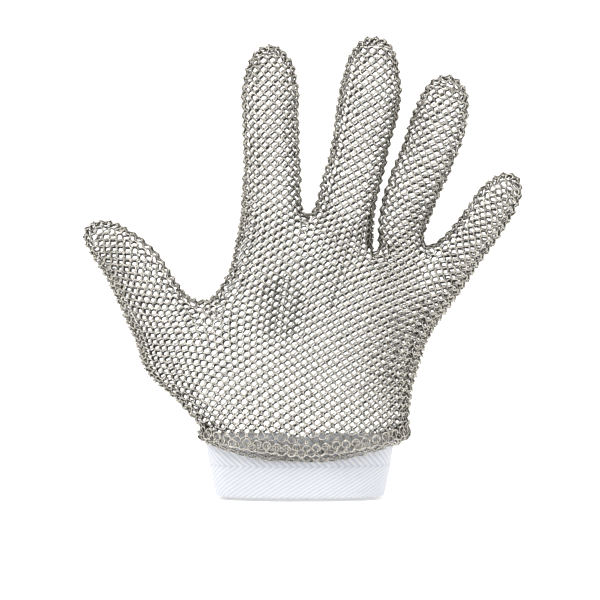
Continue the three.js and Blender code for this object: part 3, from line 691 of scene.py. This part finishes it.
def tidy(n_, u_):
    n_ = n_ / np.linalg.norm(n_, axis=1)[:, None]
    u_ = u_ - n_ * (u_ * n_).sum(1)[:, None]
    return n_, u_ / (np.linalg.norm(u_, axis=1)[:, None] + 1e-9)


parts = {k: [] for k in ("pos", "n", "u", "sign", "th", "tag", "col")}


def add(pos_, n_, u_, col_, th_, tag):
    n_, u_ = tidy(n_, u_)
    parts["pos"].append(pos_)
    parts["n"].append(n_)
    parts["u"].append(u_)
    parts["sign"].append(np.where(col_ % 2 == 0, 1.0, -1.0))
    parts["th"].append(th_)
    parts["tag"].append(np.full(len(pos_), tag))
    parts["col"].append(col_)


# crowded columns buckle in pairs, most where the mesh gathers over the knuckles
gather = np.zeros(len(P))
for gx, gz, rx, rz, much in [(-8, 80.5, 9.5, 13, 1.0), (15, 91, 5.5, 9, 0.6), (-3, 66, 6, 8, 0.3)]:
    gather = np.maximum(gather, much * ease(1.6 - np.hypot((P[:, 0] - gx) / rx, (P[:, 2] - gz) / rz)))
buckle = 0.34 * ease((2.2 - dv) / 0.5)
up_down = np.where((col >> 1) & 1, 1.0, -1.0)
soft = 0.25 * np.sin(P[:, 0] * 0.21 + P[:, 2] * 0.13) * np.sin(P[:, 2] * 0.17 - P[:, 0] * 0.06 + 1.0)
th_f = lean_angle(du, dv)
Pb = P + N * (buckle * up_down + 0.4 * gather * up_down + soft)[:, None]
add(Pb, N, U, col, th_f + 10 * gather, 0)  # back
flip_y = np.array([1, -1, 1.0])
# the palm side has the same rows and columns, spread a little wider than the back
spread = 1 + (-2 * P[:, 1]) / 1100.0
low = ease((-P[:, 1] - 4.0) / 6.0)
Pp = P + N * (buckle * up_down)[:, None]
Pp[:, 0] = Pp[:, 0] * spread + 0.62 * low
Pp[:, 2] = 83.9 + (Pp[:, 2] - 83.9) * spread - 0.85 * low
Pp = Pp * flip_y
add(Pp, N * flip_y, U * flip_y, col, th_f, 1)  # palm
add(strip["pos"], strip["n"], strip["u"], strip["col"], lean_angle(strip["du"], strip["dv"]), 2)
for pos_, n_, u_, ids, seen in hem_rings:
    add(pos_, n_, u_, ids, np.full(len(ids), 24.0), 3)
ring = {k: np.concatenate(v) for k, v in parts.items()}
total = len(ring["pos"])
# small play in each ring
ring["pos"] = ring["pos"] + rng.normal(0, 0.07, (total, 3))
th = np.radians(ring["th"] + rng.normal(0, 3.5, total)) * ring["sign"]
R_N, R_U = ring["n"], ring["u"]
R_OUT = R_N.copy()  # the side that is seen: the rolled hem shows the inside of the mesh
R_OUT[ring["tag"] == 3] *= np.concatenate([np.full(len(h[3]), h[4]) for h in hem_rings])[:, None]
R_V = np.cross(R_U, R_N)
roll = rng.normal(0, 4.0, total)
roll[: len(P)] += 36 * gather * up_down
roll[ring["tag"] == 3] *= 2.2
roll = np.radians(roll)
axis = R_N * np.cos(th)[:, None] + R_U * np.sin(th)[:, None]
across = R_V * np.cos(roll)[:, None] + np.cross(axis, R_V) * 0
axis = axis * np.cos(roll)[:, None] + R_V * np.sin(roll)[:, None]
axis /= np.linalg.norm(axis, axis=1)[:, None]
A_ = R_V - axis * (R_V * axis).sum(1)[:, None]
A_ /= np.linalg.norm(A_, axis=1)[:, None]
B_ = np.cross(axis, A_)
print("rings", total)


# ------------------------------------------------------------------ materials
def material(name):
    m = bpy.data.materials.new(name)
    m.use_nodes = True
    nt = m.node_tree
    bsdf = nt.nodes["Principled BSDF"]
    return m, nt, bsdf


def noise(nt, scale, detail=3.0, rough=0.6, space="Object"):
    tc = nt.nodes.new("ShaderNodeTexCoord")
    n = nt.nodes.new("ShaderNodeTexNoise")
    n.inputs["Scale"].default_value = scale
    n.inputs["Detail"].default_value = detail
    n.inputs["Roughness"].default_value = rough
    nt.links.new(tc.outputs[space], n.inputs["Vector"])
    return n


def remap(nt, src, a, b, lo=0.0, hi=1.0):
    m = nt.nodes.new("ShaderNodeMapRange")
    m.inputs["From Min"].default_value = lo
    m.inputs["From Max"].default_value = hi
    m.inputs["To Min"].default_value = a
    m.inputs["To Max"].default_value = b
    nt.links.new(src, m.inputs["Value"])
    return m.outputs["Result"]


def bump(nt, bsdf, src, strength, distance):
    b = nt.nodes.new("ShaderNodeBump")
    b.inputs["Strength"].default_value = strength
    b.inputs["Distance"].default_value = distance
    nt.links.new(src, b.inputs["Height"])
    nt.links.new(b.outputs["Normal"], bsdf.inputs["Normal"])


def ring_steel(name, color, edge, low, high):
    """Drawn stainless wire: polished on the crowns; rougher on the flanks and undersides, where a near-black copy
    paints shade.
    """
    m, nt, p = material(name)
    p.inputs["Base Color"].default_value = (*color, 1)
    p.inputs["Specular Tint"].default_value = (*edge, 1)
    p.inputs["Metallic"].default_value = 1.0
    wear = noise(nt, 420.0, 4.0, 0.65)
    att = nt.nodes.new("ShaderNodeAttribute")
    att.attribute_name = "shade"
    add_ = nt.nodes.new("ShaderNodeMath")
    add_.operation = "ADD"
    nt.links.new(remap(nt, wear.outputs["Fac"], low, high, 0.3, 0.7), add_.inputs[0])
    nt.links.new(remap(nt, att.outputs["Fac"], 0.0, 0.12), add_.inputs[1])
    nt.links.new(add_.outputs[0], p.inputs["Roughness"])
    fine = noise(nt, 5200.0, 2.0, 0.5)
    bump(nt, p, fine.outputs["Fac"], 0.25, 0.00002)
    return m


def cloth(name, color, dark, thread, sheen=0.3, lay=0.0):
    """Woven cotton tape or lining: crossing threads, a soft nap and slightly uneven dye."""
    m, nt, p = material(name)
    tc = nt.nodes.new("ShaderNodeTexCoord")
    mp = nt.nodes.new("ShaderNodeMapping")
    mp.inputs["Rotation"].default_value = (0, lay, lay)
    nt.links.new(tc.outputs["Object"], mp.inputs["Vector"])
    w1 = nt.nodes.new("ShaderNodeTexWave")
    w1.bands_direction = "X"
    w2 = nt.nodes.new("ShaderNodeTexWave")
    w2.bands_direction = "Z"
    for w in (w1, w2):
        w.inputs["Scale"].default_value = thread
        w.inputs["Distortion"].default_value = 0.6
        w.inputs["Detail"].default_value = 2.0
        nt.links.new(mp.outputs["Vector"], w.inputs["Vector"])
    mix_ = nt.nodes.new("ShaderNodeMath")
    mix_.operation = "MULTIPLY"
    nt.links.new(w1.outputs["Fac"], mix_.inputs[0])
    nt.links.new(w2.outputs["Fac"], mix_.inputs[1])
    nap = noise(nt, 900.0, 3.0, 0.7)
    blot = noise(nt, 60.0, 3.0, 0.6)
    ramp = nt.nodes.new("ShaderNodeValToRGB")
    ramp.color_ramp.elements[0].position = 0.25
    ramp.color_ramp.elements[0].color = (*dark, 1)
    ramp.color_ramp.elements[1].position = 0.75
    ramp.color_ramp.elements[1].color = (*color, 1)
    tot = nt.nodes.new("ShaderNodeMath")
    tot.operation = "ADD"
    nt.links.new(remap(nt, nap.outputs["Fac"], 0.0, 0.5), tot.inputs[0])
    nt.links.new(remap(nt, blot.outputs["Fac"], 0.15, 0.65), tot.inputs[1])
    nt.links.new(tot.outputs[0], ramp.inputs["Fac"])
    nt.links.new(ramp.outputs["Color"], p.inputs["Base Color"])
    nt.links.new(remap(nt, nap.outputs["Fac"], 0.75, 0.95), p.inputs["Roughness"])
    p.inputs["Sheen Weight"].default_value = sheen
    both = nt.nodes.new("ShaderNodeMath")
    both.operation = "ADD"
    nt.links.new(mix_.outputs[0], both.inputs[0])
    nt.links.new(remap(nt, nap.outputs["Fac"], 0.0, 0.5), both.inputs[1])
    bump(nt, p, both.outputs[0], 0.7, 0.00012)
    return m


def snap_steel():
    m, nt, p = material("snap_steel")
    p.inputs["Base Color"].default_value = (0.52, 0.51, 0.49, 1)
    p.inputs["Metallic"].default_value = 1.0
    sc = noise(nt, 1600.0, 4.0, 0.7)
    nt.links.new(remap(nt, sc.outputs["Fac"], 0.16, 0.36, 0.3, 0.7), p.inputs["Roughness"])
    bump(nt, p, sc.outputs["Fac"], 0.15, 0.00003)
    return m


STEEL = ring_steel("ring_steel", (0.68, 0.645, 0.58), (0.5, 0.49, 0.45), 0.12, 0.26)
# near-black, rougher copy for the flanks and undersides: painted shade
PAINTED_SHADE_STEEL = ring_steel("ring_steel_painted_shade", (0.09, 0.088, 0.075), (0.2, 0.2, 0.18), 0.38, 0.55)
BANDMAT = cloth("band_cotton", (0.945, 0.95, 0.965), (0.86, 0.87, 0.905), 900.0)
nt_ = BANDMAT.node_tree
p_ = nt_.nodes["Principled BSDF"]
src_ = p_.inputs["Base Color"].links[0].from_socket
# the rib attribute mixes a darker lavender into the grooves between the ribs and threads: painted shade
att_ = nt_.nodes.new("ShaderNodeAttribute")
att_.attribute_name = "rib"
mx_ = nt_.nodes.new("ShaderNodeMix")
mx_.data_type = "RGBA"
mx_.inputs[6].default_value = (0.50, 0.53, 0.66, 1)
nt_.links.new(att_.outputs["Fac"], mx_.inputs[0])
nt_.links.new(src_, mx_.inputs[7])
nt_.links.new(mx_.outputs[2], p_.inputs["Base Color"])
LINING = cloth("lining_cotton", (0.88, 0.88, 0.90), (0.74, 0.75, 0.80), 620.0, 0.45, 0.6)
STRAP = cloth("strap_cotton", (0.78, 0.79, 0.815), (0.58, 0.60, 0.67), 520.0, 0.2)
THREAD = cloth("stitch_thread", (0.66, 0.68, 0.73), (0.44, 0.46, 0.54), 1500.0, 0.1, 0.8)
SNAPM = snap_steel()

# ------------------------------------------------------------------ rings as meshes
NU, NV = 16, 8
tu = np.arange(NU) * 2 * math.pi / NU
tv = np.arange(NV) * 2 * math.pi / NV
T_U, T_V = [a.ravel() for a in np.meshgrid(tu, tv, indexing="ij")]
T_X = (RING_R + WIRE_R * np.cos(T_V)) * np.cos(T_U)
T_Y = (RING_R + WIRE_R * np.cos(T_V)) * np.sin(T_U)
T_Z = WIRE_R * np.sin(T_V)
quad = np.array(
    [
        (i * NV + j, ((i + 1) % NU) * NV + j, ((i + 1) % NU) * NV + (j + 1) % NV, i * NV + (j + 1) % NV)
        for i in range(NU)
        for j in range(NV)
    ]
)
SHADE = rng.random(total)
# the wire's own way out, at the middle of each facet
q_u = (np.repeat(np.arange(NU), NV) + 0.5) * 2 * math.pi / NU
q_v = (np.tile(np.arange(NV), NU) + 0.5) * 2 * math.pi / NV
Q_X, Q_Y, Q_Z = np.cos(q_v) * np.cos(q_u), np.cos(q_v) * np.sin(q_u), np.sin(q_v)


def ring_mesh(name, ids):
    """One mesh of the rings with these numbers, in metres."""
    n = len(ids)
    p = ring["pos"][ids]
    v = (
        p[:, None, :]
        + T_X[None, :, None] * A_[ids][:, None, :]
        + T_Y[None, :, None] * B_[ids][:, None, :]
        + T_Z[None, :, None] * axis[ids][:, None, :]
    ) * 0.001
    q = (quad[None] + (np.arange(n) * NU * NV)[:, None, None]).reshape(-1, 4)
    me = bpy.data.meshes.new(name)
    me.vertices.add(n * NU * NV)
    me.vertices.foreach_set("co", v.reshape(-1).astype(np.float32))
    me.loops.add(len(q) * 4)
    me.loops.foreach_set("vertex_index", q.reshape(-1).astype(np.int32))
    me.polygons.add(len(q))
    me.polygons.foreach_set("loop_start", (np.arange(len(q)) * 4).astype(np.int32))
    me.polygons.foreach_set("use_smooth", np.ones(len(q), bool))
    out_way = (
        Q_X[None, :, None] * A_[ids][:, None, :]
        + Q_Y[None, :, None] * B_[ids][:, None, :]
        + Q_Z[None, :, None] * axis[ids][:, None, :]
    )
    # faces turned out from the glove keep the bright steel; the rest take the near-black copy, painted shade on the
    # flanks and undersides
    crown = (out_way * R_OUT[ids][:, None, :]).sum(-1) > 0.55
    me.materials.append(STEEL)
    me.materials.append(PAINTED_SHADE_STEEL)
    me.polygons.foreach_set("material_index", np.where(crown, 0, 1).reshape(-1).astype(np.int32))
    me.update(calc_edges=True)
    me.validate()
    at_ = me.attributes.new("shade", "FLOAT", "POINT")
    at_.data.foreach_set("value", np.repeat(SHADE[ids], NU * NV).astype(np.float32))
    o = bpy.data.objects.new(name, me)
    bpy.context.scene.collection.objects.link(o)
    return o


# ------------------------------------------------------------------ which ring belongs to which piece
X, Z, TAG = ring["pos"][:, 0], ring["pos"][:, 2], ring["tag"]
XZ = np.column_stack([X, Z])
FINGERS = {
    "index": [(-12.6, 121.8), (-12.4, 144.0), (-12.9, 168.5), (-13.4, 194.0)],
    "middle": [(18.3, 119.8), (24.5, 144.3), (30.2, 170.5), (32.0, 197.0)],
    "ring": [(43.9, 111.8), (50.6, 134.5), (58.4, 158.2), (63.4, 181.0)],
    "little": [(69.5, 105.1), (76.6, 115.6), (84.0, 126.7), (92.4, 138.5)],
}
ROOT_TILT = {"index": 0, "middle": 5, "ring": 8, "little": 17}
THUMB = [(-62.6, 83.2), (-76.0, 103.0), (-92.5, 118.5)]


def unit(v):
    v = np.array(v, float)
    return v / np.linalg.norm(v)


def seg_dist(p, a, b):
    a, b = np.array(a), np.array(b)
    t = np.clip(((p - a) @ (b - a)) / ((b - a) @ (b - a)), 0, 1)
    return np.linalg.norm(p - (a + t[:, None] * (b - a)), axis=1)


fold_joint = [j for j in frame["joints"] if j["name"] == "knuckle_fold"][0]
fa = fold_joint.get("axis", [1, 0, 0])
fold_up = np.array([-fa[2], fa[0]]) * (1 if fa[0] > 0 else -1)  # across the axis, in x and z
fold_up = fold_up / np.linalg.norm(fold_up)
beyond_fold = (XZ - [0.0, 85.0]) @ fold_up

names = list(FINGERS)
dirs, dist = {}, {}
for f, pts in FINGERS.items():
    q = [np.array(p) for p in pts]
    t = math.radians(ROOT_TILT[f])
    d1 = np.array([math.sin(t), math.cos(t)])
    d2, d3 = unit(q[2] - q[1]), unit(q[3] - q[2])
    if f == "little":
        d1 = unit(q[1] - q[0])
    dirs[f] = (d1, unit(q[2] - q[0]), d3)
    dist[f] = np.minimum.reduce(
        [seg_dist(XZ, q[0] - d1 * 14, q[0])] + [seg_dist(XZ, q[i], q[i + 1]) for i in range(3)]
    )
D = np.stack([dist[f] for f in names], 1)
own = np.argmin(D, 1)
piece = np.array([""] * total, dtype=object)
piece[:] = "main"
thumb_d = np.minimum(seg_dist(XZ, THUMB[0], THUMB[1]), seg_dist(XZ, THUMB[1], THUMB[2]))
for fi, f in enumerate(names):
    q = [np.array(p) for p in FINGERS[f]]
    d1, d2, d3 = dirs[f]
    c1 = (XZ - q[0]) @ d1
    cA = (XZ - (q[0] + q[1]) / 2) @ d2
    cB = (XZ - (q[1] + q[2]) / 2) @ d2
    mine = (own == fi) & (X > -38) & (beyond_fold > 15)
    piece[mine & (c1 > -9)] = f + "_A"
    piece[mine & (c1 > -9) & (cA > 0)] = f + "_B"
    piece[mine & (c1 > -9) & (cB > 0)] = f + "_C"
q = [np.array(p) for p in THUMB]
t1, t2 = unit(q[1] - q[0]), unit(q[2] - q[1])
on_left = (X < -30) & (beyond_fold < 2.5) | (X < -42)
piece[on_left] = "thumb_0"
c1 = (XZ - q[0]) @ t1
c2 = (XZ - (q[0] + q[1]) / 2) @ unit(q[2] - q[0])
piece[on_left & (c1 > -9)] = "thumb_A"
piece[on_left & (c1 > -9) & (c2 > 0)] = "thumb_B"
piece[TAG == 3] = "hem"
is_main = piece == "main"
back_side = (TAG == 0) | ((TAG == 2) & (ring["pos"][:, 1] <= 0))
half_x = np.where(X < 8, "l", "r")
for b, nm in ((True, "back"), (False, "palm")):
    for hx_ in ("l", "r"):
        piece[is_main & (back_side == b) & (half_x == hx_)] = f"{nm}_{hx_}"
left0 = piece == "thumb_0"
piece[left0 & back_side] = "gusset_back"
piece[left0 & ~back_side] = "gusset_palm"


def make(name, tag):
    ids = np.where(piece == tag)[0]
    return ring_mesh(name, ids)


for side_name in ("back", "palm"):
    for hx_, word in (("l", "thumb_side"), ("r", "outer_side")):
        o = make(f"rings_{side_name}_{word}", f"{side_name}_{hx_}")
        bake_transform(o)
    g = make(f"rings_thumb_base_{side_name}", f"gusset_{side_name}")
    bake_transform(g)
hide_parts("mesh_back_lower", "mesh_back_knuckles")
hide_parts("mesh_palm_lower", "mesh_palm_knuckles")
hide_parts("thumb_gusset")
tA = make("rings_thumb_root", "thumb_A")
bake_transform(tA)
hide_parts("thumb_proximal_sleeve")
tB = make("rings_thumb_tip", "thumb_B")
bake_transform(tB)
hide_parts("thumb_tip")
for f in names:
    d1, d2, d3 = dirs[f]
    A = make(f"rings_{f}_root", f + "_A")
    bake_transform(A)
    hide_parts(f + "_proximal_sleeve")
    Bp = make(f"rings_{f}_middle", f + "_B")
    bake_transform(Bp)
    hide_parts(f + "_middle_sleeve")
    C = make(f"rings_{f}_tip", f + "_C")
    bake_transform(C)
    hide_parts(f + "_fingertip")
hem_o_ = make("rings_hem_curl", "hem")
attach(hem_o_, "cuff")
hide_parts("mesh_hem")
print("PIECES", {k: int((piece == k).sum()) for k in sorted(set(piece))})

# ------------------------------------------------------------------ the woven band
BAND_L = [(0.0, 34.0, 22.0), (13.0, 37.0, 19.6), (26.0, 39.2, 16.6)]


def band_point(phi, z, off):
    a = np.interp(z, [b[0] for b in BAND_L], [b[1] for b in BAND_L]) + off
    b = np.interp(z, [b[0] for b in BAND_L], [b[2] for b in BAND_L]) + off
    c, s = np.cos(phi), np.sin(phi)
    e = 2 / 2.4
    a = a + (1.9 - 0.015 * z) * ease((0.8 - s) / 0.8)
    return np.sign(c) * np.abs(c) ** e * a, np.sign(s) * np.abs(s) ** e * b


ph = np.linspace(0, 2 * math.pi, 20001)
bx, by = band_point(ph, 13.0, 0)
bl = np.r_[0, np.cumsum(np.hypot(np.diff(bx), np.diff(by)))]
round_ = bl[-1]
slit = np.interp(round_ * 0.25, bl, ph)  # middle of the palm side
BN, BM = 720, 58
s_mid = round_ * 0.25
gap_half = 5.0
s_run = np.linspace(s_mid + gap_half, s_mid + round_ - gap_half, BN)
phi_run = np.interp(s_run % round_, bl, ph)
zs = np.linspace(0.0, 26.0, BM)
PHI, ZZ = np.meshgrid(phi_run, zs, indexing="ij")
SR = np.repeat((s_run - s_mid)[:, None], BM, 1)
PITCH = 2.9  # of the ribs, along the band
mid = 13.4
slope = np.where(ZZ > mid, 1.15, 1.75)
rib = SR / PITCH + np.abs(ZZ - mid) * slope / PITCH
h_rib = np.abs(np.sin(math.pi * rib)) ** 0.7
h_rib *= ease(np.abs(ZZ - mid) / 0.7) * 0.35 + 0.65
thread = 0.5 + 0.5 * np.sin(2 * math.pi * (SR / 0.62 - (ZZ - mid) * np.sign(ZZ - mid) * 0.5 / 0.62))
relief = 0.30 * h_rib + 0.05 * thread
edge_roll = 0.55 * (1 - ease(np.minimum(ZZ, 26 - ZZ) / 0.9))
ripple = 0.22 * np.sin(SR * 0.19 + 0.6) * np.sin(ZZ * 0.12 + SR * 0.05) + 0.1 * np.sin(SR * 0.53)
off = relief - 0.2 - edge_roll + ripple
ox, oy = band_point(PHI, ZZ, 0.0)
# the wall's way out
gx_, gy_ = np.gradient(ox, axis=0), np.gradient(oy, axis=0)
ln = np.hypot(gx_, gy_) + 1e-9
nx_, ny_ = gy_ / ln, -gx_ / ln
if (nx_ * ox + ny_ * oy).mean() < 0:
    nx_, ny_ = -nx_, -ny_
scallop = np.where(ZZ < 1.4, 0.3 * (1 - ZZ / 1.4) * np.abs(np.sin(math.pi * SR / 2.1)), 0)
outer_v = np.stack([ox + nx_ * off, oy + ny_ * off, ZZ + scallop], -1)
inner_v = np.stack([ox - nx_ * (1.45 - edge_roll * 0.6 - ripple), oy - ny_ * (1.45 - edge_roll * 0.6 - ripple), ZZ + scallop], -1)
vv = np.vstack([outer_v.reshape(-1, 3), inner_v.reshape(-1, 3)]) * 0.001
ob = lambda i, j: i * BM + j
ib = lambda i, j: BN * BM + i * BM + j
I, J = np.meshgrid(np.arange(BN - 1), np.arange(BM - 1), indexing="ij")
I, J = I.ravel(), J.ravel()
faces = [
    np.column_stack([ob(I, J), ob(I + 1, J), ob(I + 1, J + 1), ob(I, J + 1)]),
    np.column_stack([ib(I, J), ib(I, J + 1), ib(I + 1, J + 1), ib(I + 1, J)]),
]
i = np.arange(BN - 1)
j = np.arange(BM - 1)
z0, zt = np.zeros_like(i), np.full_like(i, BM - 1)
faces.append(np.column_stack([ob(i, z0), ib(i, z0), ib(i + 1, z0), ob(i + 1, z0)]))
faces.append(np.column_stack([ob(i, zt), ob(i + 1, zt), ib(i + 1, zt), ib(i, zt)]))
e0, e1 = np.zeros_like(j), np.full_like(j, BN - 1)
faces.append(np.column_stack([ob(e0, j), ob(e0, j + 1), ib(e0, j + 1), ib(e0, j)]))
faces.append(np.column_stack([ob(e1, j), ib(e1, j), ib(e1, j + 1), ob(e1, j + 1)]))
faces = np.vstack(faces)
me = bpy.data.meshes.new("band_woven")
me.vertices.add(len(vv))
me.vertices.foreach_set("co", vv.reshape(-1).astype(np.float32))
me.loops.add(len(faces) * 4)
me.loops.foreach_set("vertex_index", faces.reshape(-1).astype(np.int32))
me.polygons.add(len(faces))
me.polygons.foreach_set("loop_start", (np.arange(len(faces)) * 4).astype(np.int32))
me.polygons.foreach_set("use_smooth", np.ones(len(faces), bool))
me.update(calc_edges=True)
me.validate()
import bmesh

bm = bmesh.new()
bm.from_mesh(me)
bmesh.ops.recalc_face_normals(bm, faces=bm.faces)
bm.to_mesh(me)
bm.free()
# rib attribute: low in the grooves and between threads, where the darker lavender paints shade; high on the crests; a
# fixed 0.8 on the inside
ribs = me.attributes.new("rib", "FLOAT", "POINT")
groove_shade = np.clip(h_rib * 0.8 + thread * 0.25, 0, 1)
ribs.data.foreach_set("value", np.r_[groove_shade.ravel(), np.full(BN * BM, 0.8)].astype(np.float32))
me.materials.append(BANDMAT)
band = bpy.data.objects.new("band_woven", me)
bpy.context.scene.collection.objects.link(band)
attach(band, "cuff")
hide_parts("cuff_band")

# ------------------------------------------------------------------ finishes of the CAD parts that stay
FINISH = {
    "cuff_lining": LINING,
    "strap_anchor": STRAP,
    "strap_box_stitch": THREAD,
    "strap_tab": STRAP,
    "snap_post": SNAPM,
    "snap_stud": SNAPM,
    "snap_socket": SNAPM,
    "snap_cap": SNAPM,
}
for name, mat in FINISH.items():
    o = frame["nodes"][name]
    o.data.materials.clear()
    o.data.materials.append(mat)

# ------------------------------------------------------------------ pale floor and backdrop, glowing as painted light, soft light, camera
fl = bpy.data.meshes.new("studio_floor")
prof = [(0.0, -0.0012), (0.6, -0.0012), (1.6, -0.0012)]
for a in range(1, 17):
    t_ = a / 16 * math.pi / 2
    prof.append((1.6 + 0.9 * math.sin(t_), -0.0012 + 0.9 * (1 - math.cos(t_))))
prof.append((2.5, 3.2))
TURN = 96
fvv, ffc = [], []
for r_, z_ in prof:
    for k in range(TURN):
        a_ = 2 * math.pi * k / TURN
        fvv.append((r_ * math.cos(a_), r_ * math.sin(a_), z_))
for k in range(len(prof) - 1):
    for m_ in range(TURN):
        n_ = (m_ + 1) % TURN
        ffc.append((k * TURN + m_, k * TURN + n_, (k + 1) * TURN + n_, (k + 1) * TURN + m_))
fl.from_pydata(fvv, [], ffc)
fl.polygons.foreach_set("use_smooth", np.ones(len(ffc), bool))
fmat, fnt, fp = material("studio_white")
fp.inputs["Base Color"].default_value = (0.80, 0.80, 0.80, 1)
fp.inputs["Roughness"].default_value = 0.9
fp.inputs["Emission Color"].default_value = (1.0, 1.0, 1.0, 1)
tc_ = fnt.nodes.new("ShaderNodeTexCoord")
sp_ = fnt.nodes.new("ShaderNodeSeparateXYZ")
fnt.links.new(tc_.outputs["Object"], sp_.inputs["Vector"])
# the stage glows, from 0.03 at the front to 0.62 at the back: painted light
fnt.links.new(remap(fnt, sp_.outputs["Y"], 0.03, 0.62, -0.5, 0.4), fp.inputs["Emission Strength"])
# the walls grow darker with height and towards the front: painted shade
wall_shade_mix = fnt.nodes.new("ShaderNodeMix")
wall_shade_mix.data_type = "RGBA"
wall_shade_mix.inputs[6].default_value = (0.86, 0.86, 0.86, 1)
wall_shade_mix.inputs[7].default_value = (0.38, 0.38, 0.38, 1)
front_wall_shade = fnt.nodes.new("ShaderNodeMath")
front_wall_shade.operation = "MULTIPLY"
fnt.links.new(remap(fnt, sp_.outputs["Z"], 0.0, 1.0, 0.02, 0.5), front_wall_shade.inputs[0])
fnt.links.new(remap(fnt, sp_.outputs["Y"], 1.0, 0.0, 0.2, 1.6), front_wall_shade.inputs[1])
fnt.links.new(front_wall_shade.outputs[0], wall_shade_mix.inputs[0])
fnt.links.new(wall_shade_mix.outputs[2], fp.inputs["Base Color"])
fn_ = noise(fnt, 3.0)
fnt.links.new(remap(fnt, fn_.outputs["Fac"], 0.85, 0.95), fp.inputs["Roughness"])
fl.materials.append(fmat)
floor = bpy.data.objects.new("studio_floor", fl)
bpy.context.scene.collection.objects.link(floor)

world = bpy.data.worlds.new("studio")
bpy.context.scene.world = world
world.use_nodes = True
bg = world.node_tree.nodes["Background"]
bg.inputs["Color"].default_value = (1.0, 1.0, 1.0, 1)
bg.inputs["Strength"].default_value = 0.12


def area(name, loc, to, size, power, color=(1, 1, 1)):
    l = bpy.data.lights.new(name, "AREA")
    l.shape = "RECTANGLE"
    l.size, l.size_y = size
    l.energy = power
    l.color = color
    o = bpy.data.objects.new(name, l)
    o.location = loc
    o.rotation_euler = (Vector(to) - Vector(loc)).to_track_quat("-Z", "Y").to_euler()
    bpy.context.scene.collection.objects.link(o)
    return o


area("key_left", (-1.0, -1.1, 1.30), (0, 0, 0.09), (1.3, 0.7), 12)
area("fill_right", (1.4, -1.0, 0.9), (0, 0, 0.09), (0.35, 0.9), 4.5)
area("top", (0.0, -0.35, 1.6), (0, 0, 0.05), (1.7, 1.0), 17)
area("backdrop_light", (0, 0.6, 2.4), (0, 2.3, 0.5), (2.4, 0.6), 7)

cam = bpy.data.cameras.new("camera")
cam.lens = 36.0 * 1.1 / 0.258
cam.sensor_width = 36.0
cam.clip_start = 0.05
co = bpy.data.objects.new("camera", cam)
co.location = (0.0, -1.1, 0.0839)
co.rotation_euler = (math.pi / 2, 0, 0)
bpy.context.scene.collection.objects.link(co)
bpy.context.scene.camera = co
bpy.context.scene.view_settings.view_transform = "Standard"
